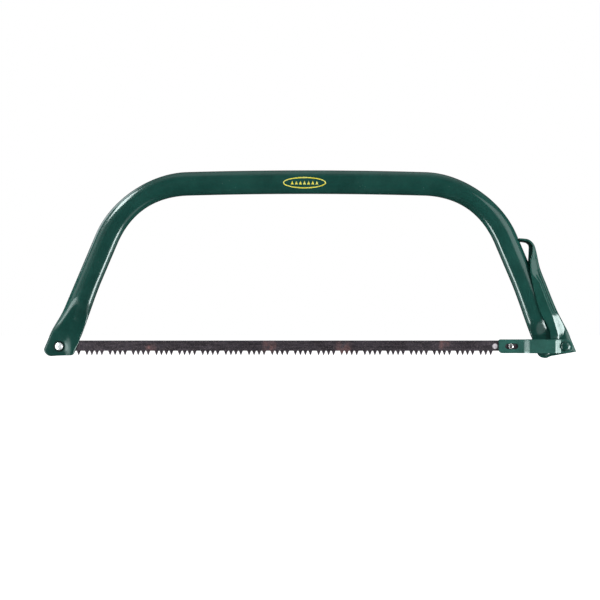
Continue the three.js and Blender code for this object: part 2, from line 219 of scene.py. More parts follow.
def boolean(piece, shape, operation="DIFFERENCE", folds=False):
    """Cuts the piece with a shape of points and faces. folds: its skin may cross itself."""
    tool = solid("cutter", *shape)
    modifier = piece.modifiers.new("cut", "BOOLEAN")
    modifier.operation = operation
    modifier.solver = "EXACT"
    modifier.use_self = folds
    modifier.object = tool
    bpy.context.view_layer.update()
    shown = piece.evaluated_get(bpy.context.evaluated_depsgraph_get())
    made = bpy.data.meshes.new_from_object(shown)
    piece.modifiers.clear()
    piece.data = made
    bpy.data.objects.remove(tool)
    weld(piece)
    shade(piece)


# -------------------- frame tube

TOP_ARC = TOP_RADIUS * TOP_TURN
BEND_ARC = BEND_RADIUS * (LEG_SLOPE - TOP_TURN)
BEND_END = TOP_ARC + BEND_ARC
HALF_ARC = BEND_END + LEG_LENGTH


def bow_line(distance):
    """The centre line at a distance from the top bar's middle: x, z and slope below level."""
    along = abs(distance)
    top = min(along, TOP_ARC) / TOP_RADIUS
    slope = top + min(max(along - TOP_ARC, 0), BEND_ARC) / BEND_RADIUS
    leg = max(along - BEND_END, 0)
    x = TOP_RADIUS * sin(top) + BEND_RADIUS * (sin(slope) - sin(top))
    z = TOP_Z - TOP_RADIUS * (1 - cos(top)) - BEND_RADIUS * (cos(top) - cos(slope))
    return x + leg * cos(slope), z - leg * sin(slope), slope


BEND_END_Z = bow_line(BEND_END)[1]


def leg_distance(z):
    """The distance along the bow at which a leg's centre line is at a height."""
    return BEND_END + (BEND_END_Z - z) / sin(LEG_SLOPE)


def oval(width, depth, power, count=POINTS_ROUND_TUBE):
    """A superellipse as (out, through) with its points evenly spaced round it."""
    angle = np.linspace(0, 2 * pi, 1441)
    c, s = np.cos(angle), np.sin(angle)
    out = width * np.sign(c) * np.abs(c) ** (2 / power)
    through = depth * np.sign(s) * np.abs(s) ** (2 / power)
    run = np.concatenate([[0], np.cumsum(np.hypot(np.diff(out), np.diff(through)))])
    even = np.linspace(0, run[-1], count, endpoint=False)
    return np.interp(even, run, out), np.interp(even, run, through)


HEEL_TRIM_Z = 92  # below this height the heel's outer side is cut back
HEEL_WAIST = 14.6
HEEL_NECK = 11.4
HEEL_END = -1.3  # negative is past the centre line


def heel_limit(z):
    """How far out the heel's outer side reaches: it is cut back where the lever is narrow."""
    upper = mix(HEEL_WAIST, FLAT_HALF_WIDTH, smooth((z - 60) / 32))
    middle = mix(HEEL_NECK, upper, smooth((z - 26) / 36))
    return mix(HEEL_END, middle, smooth((z - 2) / 26))


# The toe's trimmed end, with x counted out from the bow's middle.
TOE_BOTTOM = (335.45, 3.0)
TOE_BOTTOM_SLOPE = 0.055
TOE_CORNER = (335.6, 13)
TOE_CORNER_RADIUS = 10
TOE_FILLET = 1.6


def end_reach(side, out):
    """Where each line of the tube ends, as a distance along the bow, at the toe or the heel."""
    x0, z0, _ = bow_line(HALF_ARC)
    along_x, along_z = cos(LEG_SLOPE), -sin(LEG_SLOPE)
    out_x, out_z = -along_z, along_x
    ends = []
    for o in out:
        px, pz = x0 + o * out_x, z0 + o * out_z
        if side > 0:
            rx, rz = FULCRUM[0] - px, FULCRUM[1] - pz
            ahead = rx * along_x + rz * along_z
            aside = rx * out_x + rz * out_z
            radius = EAR_RADIUS - 1
            ends.append(HALF_ARC + ahead + sqrt(max(radius**2 - aside**2, 0)))
            continue
        gap = (TOE_BOTTOM[1] + TOE_BOTTOM_SLOPE * (TOE_BOTTOM[0] - px)) - pz
        ahead = gap / (along_z + TOE_BOTTOM_SLOPE * along_x)
        corner_x, corner_z = TOE_CORNER[0] - px, TOE_CORNER[1] - pz
        nearest = corner_x * along_x + corner_z * along_z
        aside = corner_x * out_x + corner_z * out_z
        if px + ahead * along_x > TOE_BOTTOM[0]:
            ahead = nearest + sqrt(max(TOE_CORNER_RADIUS**2 - aside**2, 0))
        short = max(TOE_FILLET - (o + FLAT_HALF_WIDTH), 0)
        ahead -= TOE_FILLET - sqrt(TOE_FILLET**2 - min(short, TOE_FILLET) ** 2)
        ends.append(HALF_ARC + ahead)
    return np.array(ends)


# The toe's walls round the screw. A pair is where a slope begins, out from the screw (for the
# fade, its height), and how long it is.
DIMPLE_RADIUS = 7.3
DIMPLE_HALF_WIDTH = 4
DIMPLE_DEEP = 0.3
SWELL_HIGH = 1.25
SWELL_RISE = (6.6, 11)
SWELL_FALL = (17.6, 6.5)
SWELL_Z = 12
SWELL_HALF_HEIGHT = 30
DIMPLE_FADE = (60, 20)


def clamp_dimple(x, z):
    """How far the toe's walls stand out: drawn in round the screw, swollen beside it."""
    away = np.hypot(x - TOE_SCREW_X, z - BLADE_LINE_Z)
    rising = smooth((x - (TOE_SCREW_X + SWELL_RISE[0])) / SWELL_RISE[1])
    falling = 1 - smooth((x - (TOE_SCREW_X + SWELL_FALL[0])) / SWELL_FALL[1])
    swell = rising * falling * bump((z - SWELL_Z) / SWELL_HALF_HEIGHT)
    return -DIMPLE_DEEP * bump((away - DIMPLE_RADIUS) / DIMPLE_HALF_WIDTH) + SWELL_HIGH * swell


def pressed_oval(side, z0, width, round_depth, flat_depth):
    """The section at a height: round above, pressed flat below, its sides at their own heights."""
    start, end = TOE_PRESS if side < 0 else HEEL_PRESS
    if z0 > start:
        return oval(width, round_depth, OVAL_POWER)
    round_out, round_through = oval(width, round_depth, OVAL_POWER)
    flat_out, flat_through = oval(width, flat_depth, FLAT_POWER)
    if side < 0:
        end = end - TOE_PRESS_LAG * smooth(round_out / TUBE_HALF_WIDTH)
    pressed = smooth((start - z0) / (start - end))
    return mix(round_out, flat_out, pressed), mix(round_through, flat_through, pressed)


def flare_width(z, flare):
    """How far a side of the tube stands out at a height: more towards the pressed ends."""
    flared = float(smooth((flare[0] - z) / (flare[0] - flare[1])))
    return mix(TUBE_HALF_WIDTH, FLAT_HALF_WIDTH, flared)


def tube_ring(distance, inner):
    """One ring of the tube: x, y, z of its outer or its inner face."""
    side = 1 if distance > 0 else -1
    x0, z0, slope = bow_line(distance)
    bend = (abs(distance) - TOP_ARC) / BEND_ARC
    squeezed = sin(bend * pi) ** 2 if 0 < bend < 1 else 0
    wall = FLAT_WALL if inner else 0
    outer_flare = TOE_OUTER_FLARE if side < 0 else HEEL_OUTER_FLARE
    outer_reach = flare_width(z0, outer_flare) - BEND_SQUEEZE * squeezed
    inner_reach = flare_width(z0, INNER_FLARE) - BEND_SQUEEZE * squeezed
    if side > 0 and z0 < HEEL_TRIM_Z:
        outer_reach = float(min(heel_limit(z0), outer_reach))
    width = (outer_reach + inner_reach) / 2
    middle = (outer_reach - inner_reach) / 2
    depth = TUBE_HALF_DEPTH + BEND_SWELL * squeezed
    out, through = pressed_oval(side, z0, width - wall, depth - wall, FLAT_HALF_DEPTH - wall)
    out = out + middle
    block = leg_distance(END_BLOCK_Z)
    reach = np.full(len(out), abs(distance))
    if abs(distance) > block:
        share = (abs(distance) - block) / (HALF_ARC - block)
        final_width, final_middle = FLAT_HALF_WIDTH, 0.0
        if side > 0:
            final_middle = (HEEL_END - FLAT_HALF_WIDTH) / 2
            final_width = (HEEL_END + FLAT_HALF_WIDTH) / 2
        final_out = (out - middle) / (width - wall) * (final_width - wall) + final_middle
        reach = block + share * (end_reach(side, final_out) - block)
    leg = reach - abs(distance)
    x = side * (x0 + out * sin(slope) + leg * cos(slope))
    z = z0 + out * cos(slope) - leg * sin(slope)
    y = through.copy()
    if side < 0 and z0 < DIMPLE_FADE[0]:
        fade = smooth((DIMPLE_FADE[0] - z0) / DIMPLE_FADE[1])
        y = y + np.sign(through) * clamp_dimple(x, z) * fade
    return np.stack([x, y, z], axis=1)


def tube_stations():
    """Distances for the rings: close together where the shape changes."""
    stretches = [
        (0.5, TOP_ARC, 14),
        (TOP_ARC, BEND_END, 44),
        (BEND_END, leg_distance(FLARE_STARTS), 10),
        (leg_distance(FLARE_STARTS), leg_distance(END_BLOCK_Z), 44),
        (leg_distance(END_BLOCK_Z), HALF_ARC, 26),
    ]
    half = [np.linspace(a, b, steps, endpoint=False) for a, b, steps in stretches]
    half = np.concatenate([*half, [HALF_ARC]])
    return [*(-half[::-1]), *half]


def rim(outer, inner, away):
    """Rings that round the edge between an outer and an inner ring."""
    steps, fullness = 4, 0.8
    middle, arm = (outer + inner) / 2, (outer - inner) / 2
    thick = np.linalg.norm(arm, axis=1, keepdims=True)
    rings = []
    for i in range(1, steps):
        angle = pi * i / steps
        rings.append(middle + arm * cos(angle) + away * thick * sin(angle) * fullness)
    return rings


def frame_tube():
    """The bent tube, slit at the toe for the blade and drilled for its screw and rivet."""
    slit_half_thick = 0.75
    stations = tube_stations()
    outer = [tube_ring(d, False) for d in stations]
    inner = [tube_ring(d, True) for d in stations]
    down = np.array([cos(LEG_SLOPE), 0, -sin(LEG_SLOPE)])
    at_heel = rim(outer[-1], inner[-1], down)
    at_toe = rim(inner[0], outer[0], down * (-1, 1, 1))
    points, faces = loft([*outer, *at_heel, *inner[::-1], *at_toe], wrapped=True)
    tube = mesh_piece("bow_tube", points, faces, "frame", "frame_tube", "frame_enamel", 50)
    slit = [(-335, 24.0), (-285, 24.0), (-285, -12), (-335, -12)]
    boolean(tube, prism(slit, -slit_half_thick, slit_half_thick))
    boolean(tube, drill(TOE_SCREW, TOE_HOLE_RADIUS))
    boolean(tube, drill(FULCRUM, AXLE_HOLE_RADIUS))
    return tube


# -------------------- blade

BLADE_LEFT = TOE_SCREW_X - 6
BLADE_RIGHT = BLADE_PIN_X + 10
BLADE_TOP_Z = 23.2
BLADE_HALF_THICK = 0.45
GULLET_Z = 9.5
TOOTH_TIP_Z = 3.9
TOOTH_PITCH = 6.6
TEETH_IN_GROUP = 4
GROUP_PITCH = 30.58
FIRST_GROUP_X = -289.3
FULL_GROUPS = 17
TOOTH_ROOT_HALF = 2.5
TOOTH_TIP_HALF = 0.55
TOOTH_SET = 0.4
TOOTH_SOFTNESS = 0.32
SET_FROM_Z = 10
BODY_LOW_Z = 11  # the plain body of the blade ends here
GROUND_HEIGHT = 1.4  # how far up a tooth its edge is ground thin
END_CHAMFER = 3
BLADE_TOE_HOLE_RADIUS = 2.9


def tooth_centres():
    """Groups of four narrow teeth with a wide raker gap between."""
    centres = []
    for group in range(-1, FULL_GROUPS + 1):
        for tooth in range(TEETH_IN_GROUP):
            before_toe = group < 0 and tooth < TEETH_IN_GROUP - 1
            past_teeth = group == FULL_GROUPS and tooth == TEETH_IN_GROUP - 1
            if not (before_toe or past_teeth):
                centres.append(FIRST_GROUP_X + group * GROUP_PITCH + tooth * TOOTH_PITCH)
    return np.array(centres)


def blade_columns(centres):
    """Places along the blade for its sections: even ones, and ones at each tooth's corners."""
    even = np.arange(BLADE_LEFT + 0.1, BLADE_RIGHT, 1.1)
    to_side = np.array([0.35, 0.8, 1.2, 1.7, 2.1, 2.4, 2.9])
    offsets = np.concatenate([-to_side[::-1], [0], to_side])
    at_teeth = (centres[:, None] + offsets[None, :]).ravel()
    from_end = (0, 1, END_CHAMFER)
    ends = [BLADE_LEFT + d for d in from_end] + [BLADE_RIGHT - d for d in from_end]
    every = np.unique(np.round(np.concatenate([even, at_teeth, ends]), 2))
    keep = np.concatenate([[True], np.diff(every) > 0.12])
    return every[keep]


def blade():
    """The blade, its teeth set to alternate sides and ground thin at their edges."""
    centres = tooth_centres()
    rings = []
    for x in blade_columns(centres):
        nearest = int(np.argmin(np.abs(centres - x)))
        apart = abs(centres[nearest] - x)
        flank = (apart - TOOTH_TIP_HALF) / (TOOTH_ROOT_HALF - TOOTH_TIP_HALF)
        edge = mix(TOOTH_TIP_Z, GULLET_Z, max(flank, 0))
        soft = TOOTH_SOFTNESS
        low = -soft * log(exp(-edge / soft) + exp(-GULLET_Z / soft))
        low = max(low, TOOTH_TIP_Z)
        end = min(x - BLADE_LEFT, BLADE_RIGHT - x)
        chamfer = max(END_CHAMFER - end, 0)
        low = max(low, GULLET_Z + chamfer) if end < END_CHAMFER else low
        high = BLADE_TOP_Z - chamfer
        toothed = apart < 4
        heights = [high, high - 0.2, mix(high, BODY_LOW_Z, 0.5), max(BODY_LOW_Z, low + 1)]
        heights += [mix(heights[-1], low, t) for t in (0.4, 0.7, 0.88, 1.0)]
        halves = []
        for z in heights:
            ground = np.clip((z - low) / GROUND_HEIGHT, 0, 1) if toothed else 1
            top_round = 0.72 if z == high else 1
            halves.append(BLADE_HALF_THICK * mix(0.3, 1, ground) * top_round)
        way = 1 if nearest % 2 else -1
        shares = [float(np.clip((SET_FROM_Z - z) / (SET_FROM_Z - TOOTH_TIP_Z), 0, 1)) for z in heights]
        bent = [way * TOOTH_SET * share for share in shares]
        front = [(x, b - h, z) for z, h, b in zip(heights, halves, bent)]
        back = [(x, b + h, z) for z, h, b in zip(heights, halves, bent)]
        rings.append([*front, *back[::-1]])
    points, faces = loft(rings)
    piece = mesh_piece("saw_blade", points, faces, "frame", "blade", "blade_steel", 28)
    boolean(piece, drill(TOE_SCREW, BLADE_TOE_HOLE_RADIUS))
    boolean(piece, drill(BLADE_PIN, AXLE_HOLE_RADIUS))
    return piece


# -------------------- turned parts


def dome(radius, base, rise, way, rows=10):
    """A domed end from the head's rim to its crown, with a soft rim."""
    points = []
    for i in range(rows + 1):
        angle = radians(90 * i / rows)
        points.append((radius * cos(angle), base + way * rise * sin(angle)))
    return points


def rivet(name, place, head, base, rise, body, node):
    """A rivet with a domed head at each side and a shank between them."""
    low = dome(head, -base, rise, -1)[::-1]
    high = dome(head, base, rise, 1)
    under = head - 0.5
    profile = [*low, (under, -base + 0.2), (AXLE_RADIUS, -base + 0.2)]
    profile += [(AXLE_RADIUS, base - 0.2), (under, base - 0.2), *high]
    return mesh_piece(name, *turned(profile, place, 64), body, node, "rivet_enamel", 50)


def toe_screw():
    """A slotted screw with a domed head. Its thread is a row of ridges."""
    shank, head = 2.5, 5.1
    tip, thread_end, first_ridge = 9.2, 8.7, 8.6
    rim_high, rise = 0.8, 1.9
    base = -(FLAT_HALF_DEPTH + 0.3)
    profile = [(0, tip), (shank - 0.5, tip), (shank, thread_end)]
    thread, pitch = 0.22, 0.8
    turns = int((thread_end - 2.6) / pitch)
    for i in range(turns):
        y = first_ridge - i * pitch
        profile += [(shank, y), (shank - thread, y - pitch / 2)]
    profile += [(shank, 2.4), (shank, base), (head - 0.3, base), (head, base - 0.25)]
    profile += dome(head, base - rim_high, rise, -1)
    points, faces = turned(profile, TOE_SCREW, 64)
    screw = mesh_piece("toe_screw_head", points, faces, "frame", "toe_screw", "zinc_steel", 30)
    deep = base - rim_high - rise
    slot_turn = radians(50)
    slot_depth, half_wide, half_long = 0.75, 0.65, 10
    ux, uz = cos(slot_turn), sin(slot_turn)
    corners = []
    for a, b in ((-1, -1), (1, -1), (1, 1), (-1, 1)):
        x = TOE_SCREW_X + a * half_long * ux - b * half_wide * uz
        corners.append((x, BLADE_LINE_Z + a * half_long * uz + b * half_wide * ux))
    boolean(screw, prism(corners, deep - 1, deep + slot_depth))
    return screw


def toe_washer():
    low = FLAT_HALF_DEPTH + 0.3
    edge, hole, rim_radius = 0.2, 2.8, 6
    profile = [(hole, low), (rim_radius - edge, low), (rim_radius, low + edge)]
    profile += [(rim_radius, low + 1 - edge), (rim_radius - edge, low + 1)]
    profile += [(hole + edge, low + 1), (hole, low + 1 - edge)]
    points, faces = turned(profile, TOE_SCREW, 64)
    return mesh_piece("toe_washer_ring", points, faces, "frame", "toe_washer", "zinc_steel", 25)


def toe_nut():
    """A hexagon nut: a prism whose corners are turned down by a cone at each face."""
    low = FLAT_HALF_DEPTH + 1.6
    high = low + 4
    across = 4 / cos(radians(30))
    turns = [radians(60 * i) for i in range(6)]
    ring = [(across * cos(a), across * sin(a)) for a in turns]
    corners = [(TOE_SCREW_X + x, BLADE_LINE_Z + z) for x, z in ring]
    nut = mesh_piece("toe_nut_hex", *prism(corners, low, high), "frame", "toe_nut", "zinc_steel", 20)
    face_radius, chamfer = 3.9, 0.55
    cone = [(0, low - 0.01), (face_radius, low - 0.01), (across + 0.1, low + chamfer)]
    cone += [(across + 0.1, high - chamfer), (face_radius, high + 0.01), (0, high + 0.01)]
    boolean(nut, turned(cone, TOE_SCREW, 64), "INTERSECT")
    bore_radius, sunk_radius = 2.7, 3.1
    bore = [(0, low - 1), (sunk_radius, low - 1), (bore_radius, low + 0.4)]
    bore += [(bore_radius, high - 0.4), (sunk_radius, high + 1), (0, high + 1)]
    boolean(nut, turned(bore, TOE_SCREW, 48))
    return nut


def blade_pin():
    half_long, rise = 3.2, 0.6
    low = dome(AXLE_RADIUS, -half_long, rise, -1, 6)[::-1]
    high = dome(AXLE_RADIUS, half_long, rise, 1, 6)
    points, faces = turned([*low, *high], BLADE_PIN, 48)
    return mesh_piece("blade_pin_steel", points, faces, "frame", "blade_pin", "pin_steel", 40)


# -------------------- link plates

LINK_HALF_HEIGHT = 9.15
LINK_SHEET = 1.8
LINK_EDGE_RADIUS = 0.45
LINK_LEFT_X = 254
# The near face's distance from the saw's middle plane, by the place along the strip.
LINK_BENDS = [(250, 0.8), (286.3, 0.8), (295.5, 6.9), (328.2, 6.9), (335.5, 2.3), (360, 2.3)]
SLOT_HALF_HEIGHT = 3.65
SLOT_ENDS = (262.5, 280)
LOW_CORNER = 5
HIGH_CORNER = 2.5


def link_offset(x):
    """The near face's distance from the saw's middle plane, with the bends rounded."""
    return eased(LINK_BENDS, x)


def link_heights(x):
    """The strip's lower and upper edge at a place along it."""
    low, high = BLADE_LINE_Z - LINK_HALF_HEIGHT, BLADE_LINE_Z + LINK_HALF_HEIGHT
    left = x - LINK_LEFT_X
    if left < LOW_CORNER:
        low += LOW_CORNER - sqrt(max(LOW_CORNER**2 - (LOW_CORNER - left) ** 2, 0))
    if left < HIGH_CORNER:
        high -= HIGH_CORNER - sqrt(max(HIGH_CORNER**2 - (HIGH_CORNER - left) ** 2, 0))
    right = x - LINK_RIVET[0]
    if right > 0:
        half = sqrt(max(LINK_HALF_HEIGHT**2 - right**2, 0.6**2))
        low, high = BLADE_LINE_Z - half, BLADE_LINE_Z + half
    return low, high


def link_columns():
    nose = LINK_RIVET[0] + LINK_HALF_HEIGHT * np.sin(np.radians(np.linspace(0, 90, 22)))
    corner = LINK_LEFT_X + LOW_CORNER * (1 - np.cos(np.radians(np.linspace(0, 90, 14))))
    middle = np.arange(LINK_LEFT_X + LOW_CORNER + 1, LINK_RIVET[0], 0.8)
    return np.unique(np.round(np.concatenate([corner, middle, nose]), 3))


def link_plate(side, name, node):
    """side is -1 for the front plate and 1 for the back one."""
    rings = []
    for x in link_columns():
        low, high = link_heights(x)
        near = link_offset(x)
        round_edge = min(LINK_EDGE_RADIUS, (high - low) / 3)
        centre = near + LINK_SHEET / 2
        ring = []
        corners = [(high, 1, 0), (high, -1, 90), (low, -1, 180), (low, 1, 270)]
        for z, way, start in corners:
            cz = z - round_edge if z == high else z + round_edge
            cy = centre + way * (LINK_SHEET / 2 - round_edge)
            ring += [(x, side * y, z2) for y, z2 in arc(cy, cz, round_edge, start, start + 90, 4)]
        inset = np.linspace(0, 1, 9)[1:-1]
        down = [(x, side * near, mix(high - round_edge, low + round_edge, t)) for t in inset]
        up = [(x, side * (near + LINK_SHEET), mix(low + round_edge, high - round_edge, t)) for t in inset]
        rings.append(ring[:10] + down + ring[10:] + up)
    points, faces = loft(rings)
    plate = mesh_piece(name, points, faces, "link", node, "link_enamel", 40)
    r = SLOT_HALF_HEIGHT
    outline = arc(SLOT_ENDS[0] + r, BLADE_LINE_Z, r, 90, 270, 20)
    outline += arc(SLOT_ENDS[1] - r, BLADE_LINE_Z, r, -90, 90, 20)
    boolean(plate, prism(outline))
    boolean(plate, drill(LINK_RIVET, AXLE_HOLE_RADIUS))
    return plate


# -------------------- tension lever

LEVER_SHEET = 1.6
LEVER_STEP = 1.15
DISH_RADIUS = 13.2
RIVET_AT = 162.8
RIVET_DEPTH = 11.3
LEVER_EDGE = [
    (281, 157.9),
    (292.4, 156.4),
    (299.5, 150.3),
    (303.1, 139.9),
    (307.8, 118.8),
    (316.0, 97.7),
    (328.9, 66),
    (340.3, 44.9),
    (345.9, 34.3),
    (350.2, 23.8),
    (356.7, 8.3),
    (360.7, -2),
]
# The section's sizes by the distance along the edge from the hook's tip.
LEVER_DEPTH = [
    (0, 3.9),
    (18, 4.4),
    (42, 10.4),
    (55, 14.0),
    (70, 16.9),
    (91, 19.9),
    (108, 21.5),
    (122, 20.5),
    (135, 21.7),
    (144, 26.0),
    (146, 52),
    (190, 52),
]
NEAR_DEPTH = [(0, 1.9), (22, 2.2), (34, 6.6), (44, 11.4)]  # the near flange stops short of the hook
LEVER_FLANGE = [(0, 7.6), (16, 8.4), (34, 11.2), (50, 12.6), (62, 12.8), (116, 12.8)]
LEVER_FLANGE += [(148, 4.4), (150, 4.1), (190, 4.1)]
LEVER_BACK = [(0, 7.4), (16, 8.0), (42, 8.8), (56, 9.2), (68, 10.2), (116, 10.2), (136, 1.9), (190, 1.9)]
LEVER_WEB = [(0, 6.0), (60, 6), (114, 5), (136, 0.2), (190, 0.2)]
LEVER_CORNER = [(0, 1.0), (18, 1.4), (33, 2.6), (76, 3.6), (112, 3.6)]
LEVER_CORNER += [(121, 1.6), (136, 1.6), (146, 3.6), (190, 3.6)]
LEVER_CREASE = [(0, 3.2), (18, 3.8), (42, 10.2), (57, 13.2), (69, 8.4)]
LEVER_CREASE += [(116, 9.2), (148, 15.0), (190, 15.0)]
LEVER_PITCH = [(0, 0.5), (18, 0.4), (56, 0.33), (68, 0.69), (113, 0.69)]
LEVER_PITCH += [(119, 0.39), (147, 0.39), (150, 1.0), (190, 1.0)]
LEVER_SOFTNESS = [(0, 0.3), (60, 0.5), (70, 0.9), (112, 0.9), (119, 0.12), (190, 0.12)]
BEVEL_FROM = (108, 122)  # here the back's rounded corner turns into a flat bevel
CORNER_STEPS = 8
SLOPE_STEPS = 9
LEVER_HOLE_SEGMENTS = 52


def spline(points):
    """A smooth curve through the points, as a fine polyline."""
    per_span = 40
    p = np.array(points, float)
    padded = np.vstack([p[:1], p, p[-1:]])
    t = np.linspace(0, 1, per_span, endpoint=False)[:, None]
    runs = []
    for a, b, c, d in zip(padded, padded[1:], padded[2:], padded[3:]):
        m0, m1 = (c - a) / 2, (d - b) / 2
        cubic = (2 * b - 2 * c + m0 + m1) * t**3
        square = (-3 * b + 3 * c - 2 * m0 - m1) * t**2
        runs.append(cubic + square + m0 * t + b)
    return np.vstack([*runs, p[-1:]])


def lever_half(at, sheet, near):
    """Half a section from the web's middle to the rim, as depth and half width.

    The flange runs flat from the rim to the crease, then slopes down to the back."""
    depth = float(np.interp(at, *zip(*LEVER_DEPTH)))
    if near and at < NEAR_DEPTH[-1][0]:
        depth = min(depth, eased(NEAR_DEPTH, at))
    flange, back = eased(LEVER_FLANGE, at), eased(LEVER_BACK, at)
    corner, crease = eased(LEVER_CORNER, at), eased(LEVER_CREASE, at)
    pitch, softness = eased(LEVER_PITCH, at), eased(LEVER_SOFTNESS, at)
    corner, crease = min(corner, depth * 0.45), min(crease, depth - 0.5)
    dish = sqrt(max(DISH_RADIUS**2 - min(at - RIVET_AT, 0) ** 2, 0))
    if dish > 0:
        crease = max(crease, RIVET_DEPTH + dish)
    foot = max(crease - (flange - back) / pitch, corner)
    floor_y = max(back, flange - pitch * (crease - foot)) if flange > back else back
    inside = lambda y: max(y - sheet, 0.3) if sheet else y
    web = min(eased(LEVER_WEB, at), inside(floor_y))
    bevel = float(smooth((at - BEVEL_FROM[0]) / (BEVEL_FROM[1] - BEVEL_FROM[0])))
    half = [(sheet, 0), (sheet, web * 0.5)]
    round_depth = max(corner - sheet, 0.6)
    for i in range(CORNER_STEPS + 1):
        t = i / CORNER_STEPS
        angle = radians(90 * i / CORNER_STEPS)
        rounded_d, rounded_y = 1 - cos(angle), sin(angle)
        d, y = mix(rounded_d, t, bevel), mix(rounded_y, t, bevel)
        half.append((sheet + round_depth * d, mix(web, inside(floor_y), y)))
    corner_end = sheet + round_depth
    shift = 0.3 * sheet
    foot, head = max(foot + shift, corner_end + 0.1), crease + shift
    head = max(head, foot + 0.3)
    half += [(mix(corner_end, foot, t), inside(floor_y)) for t in (0.45, 0.85)]
    for i in range(SLOPE_STEPS + 1):
        t = i / SLOPE_STEPS
        rise = mix(t, float(smooth(t)), softness)
        half.append((mix(foot, head, t), inside(mix(floor_y, flange, rise))))
    rim_depth = max(depth, head + 0.4)
    half += [(mix(head, rim_depth, t), inside(flange)) for t in (0.08, 0.35, 0.7, 0.93, 1.0)]
    return [(min(d, rim_depth), y) for d, y in half]


def lever_side(at, near):
    """One side of a section, from the back's middle round the rim to the inside's middle."""
    outer, inner = lever_half(at, 0, near), lever_half(at, LEVER_SHEET, near)
    depth, y0 = outer[-1]
    inner = [(min(d, depth), y) for d, y in inner]
    y1 = inner[-1][1]
    middle, arm = (y0 + y1) / 2, (y0 - y1) / 2
    fullness = 0.7 * float(1 - smooth((at - 140) / 3))
    lip = []
    for i in range(1, 4):
        angle = pi * i / 4
        lip.append((depth + fullness * arm * sin(angle), middle + arm * cos(angle)))
    return [*outer, *lip, *inner[::-1]]


def lever_ring(edge, way, at):
    front = [(d, -y) for d, y in lever_side(at, True)[1:-1]]
    section = [*lever_side(at, False), *front[::-1]]
    return [(edge[0] + way[1] * d, y, edge[1] - way[0] * d) for d, y in section]


def lever_outline():
    """What is kept of the lever: the ear round the fulcrum and a straight bottom edge."""
    ear_end = 270 + degrees(0.35)
    outline = [(240, 200), (240, 40), (FULCRUM[0] - EAR_RADIUS, 24)]
    outline += arc(*FULCRUM, EAR_RADIUS, 180, ear_end, 40)
    outline += [(322.5, 2.6), (356.7, 8.3), (420, 18), (420, 200)]
    return outline


def tension_lever():
    """The lever, swept along its edge. The holes come before the outline is cut."""
    line = spline(LEVER_EDGE)
    run = np.concatenate([[0], np.cumsum(np.linalg.norm(np.diff(line, axis=0), axis=1))])
    steps = round(run[-1] / LEVER_STEP)
    stations = np.linspace(0, run[-1], steps + 1)
    place = lambda d: np.array([np.interp(d, run, line[:, 0]), np.interp(d, run, line[:, 1])])
    rings = []
    for at in stations:
        way = place(min(at + 0.4, run[-1])) - place(max(at - 0.4, 0))
        rings.append(lever_ring(place(at), way / np.linalg.norm(way), at))
    points, faces = loft(rings)
    lever = mesh_piece("lever_handle", points, faces, "lever", "tension_lever", "lever_enamel", 42)
    boolean(lever, drill(FULCRUM, AXLE_HOLE_RADIUS, LEVER_HOLE_SEGMENTS), folds=True)
    boolean(lever, drill(LINK_RIVET, AXLE_HOLE_RADIUS, LEVER_HOLE_SEGMENTS), folds=True)
    boolean(lever, prism(lever_outline(), -20, 20), "INTERSECT", folds=True)
    return lever


# -------------------- printed mark

MARK_X = -2.1
MARK_Z = 230.7


def tube_front(x, z):
    """The y of the top bar's front face at a side view place."""
    line_z = TOP_Z - TOP_RADIUS * (1 - cos(asin(x / TOP_RADIUS)))
    out = min(abs(z - line_z) / TUBE_HALF_WIDTH, 0.98)
    return -TUBE_HALF_DEPTH * (1 - out**OVAL_POWER) ** (1 / OVAL_POWER)


def stroke(inner, outer):
    """A thin closed strip on the tube between two lines of the same number of points."""
    rings = []
    for (x0, z0), (x1, z1) in zip(inner, outer):
        across = [(mix(x0, x1, t), mix(z0, z1, t)) for t in (0, 0.5, 1)]
        face = [(x, tube_front(x, z) - 0.05, z) for x, z in across]
        under = [(x, tube_front(x, z) + 0.02, z) for x, z in across]
        rings.append([*face, *under[::-1]])
    return rings


def printed_mark():
    """A plain mark: an oval outline with a row of saw teeth in it."""
    half_long, half_high, line = 27.5, 6.7, 0.75
    angles = np.radians(np.linspace(0, 360, 120, endpoint=False))
    ring = lambda grow: [
        (MARK_X + (half_long + grow) * cos(a), MARK_Z + (half_high + grow) * sin(a))
        for a in angles
    ]
    points, faces = loft(stroke(ring(-line), ring(line)), wrapped=True)
    outline = mesh_piece("printed_oval", points, faces, "frame", None, "decal_yellow", 60)
    teeth, pitch, high, half_wide = 7, 5.4, 4.6, 1.9
    parts = [outline]
    for i in range(teeth):
        x = MARK_X + (i - (teeth - 1) / 2) * pitch
        steps = np.linspace(0, 1, 9)
        left = [(x - half_wide * (1 - t), MARK_Z - high / 2 + high * t) for t in steps]
        right = [(x + half_wide * (1 - t) + 0.02, MARK_Z - high / 2 + high * t) for t in steps]
        points, faces = loft(stroke(left, right))
        name = f"printed_tooth_{i + 1}"
        parts.append(mesh_piece(name, points, faces, "frame", None, "decal_yellow", 60))
    return parts


# -------------------- materials


def fill(node, values):
    """Sets a node's own sockets."""
    for name, value in values.items():
        node.inputs[name].default_value = value


